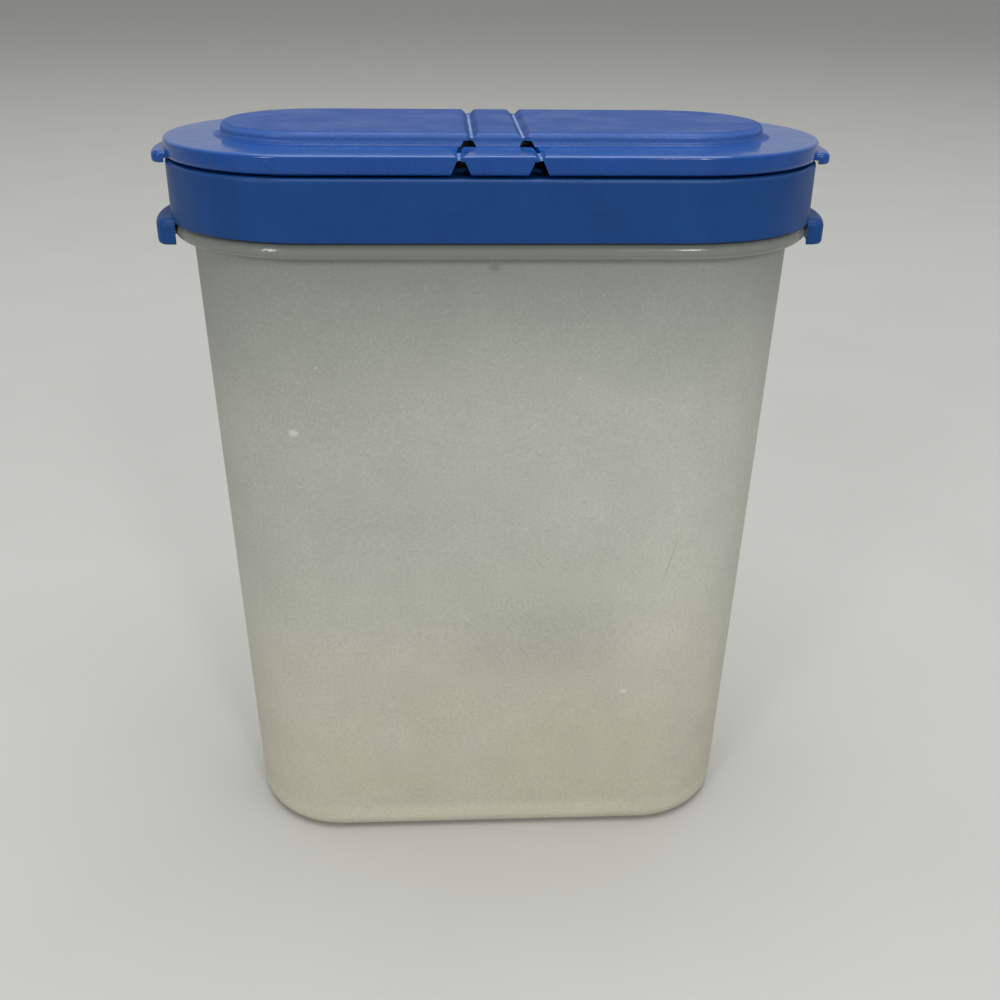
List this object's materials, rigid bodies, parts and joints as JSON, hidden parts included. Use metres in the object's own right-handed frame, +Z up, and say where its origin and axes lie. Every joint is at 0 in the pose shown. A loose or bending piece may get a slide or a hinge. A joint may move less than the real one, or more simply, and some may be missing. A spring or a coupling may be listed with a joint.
{
  "type": "spice shaker",
  "caption": "Tall oval spice container with a press-on lid; a hinged flap at one end covers sifting holes, the flap at the other a spoon opening.",
  "frame": {"origin": "middle of the container's base, on the surface that it stands on", "axes": "+Z up through the lid, +X along the lid towards the spoon flap, +Y towards the back"},
  "size_m": [0.1046, 0.0448, 0.1255],
  "materials": {
    "container": "translucent frosted polypropylene, slightly yellowed grey, glossy on the shoulder bead",
    "lid": "deep blue polyethylene, satin gloss",
    "cover": "blue polypropylene, satin gloss, fine handling scratches",
    "hinge_film": "the cover's blue, paler where the thin film has been flexed"
  },
  "bodies": {
    "container": {"container_body": "container"},
    "lid": {"lid_base": "lid", "cover_bridge": "cover", "shaker_hinge_film": "hinge_film", "shaker_front_film": "hinge_film", "shaker_rear_film": "hinge_film", "spoon_hinge_film": "hinge_film", "spoon_front_film": "hinge_film", "spoon_rear_film": "hinge_film"},
    "shaker_flap_body": {"shaker_flap": "cover"},
    "spoon_flap_body": {"spoon_flap": "cover"}
  },
  "joints": [
    {"name": "lid_lift", "type": "slide", "parent": "container", "child": "lid", "axis": [0, 0, 1], "range_m": [0, 0.035]},
    {"name": "shaker_flap_hinge", "type": "hinge", "parent": "lid", "child": "shaker_flap_body", "pos_m": [-0.0037, 0, 0.12457], "axis": [0, 1, 0], "range_deg": [0, 90], "deforming": ["shaker_hinge_film", "shaker_front_film", "shaker_rear_film"]},
    {"name": "spoon_flap_hinge", "type": "hinge", "parent": "lid", "child": "spoon_flap_body", "pos_m": [0.0037, 0, 0.12457], "axis": [0, -1, 0], "range_deg": [0, 90], "deforming": ["spoon_hinge_film", "spoon_front_film", "spoon_rear_film"]}
  ]
}
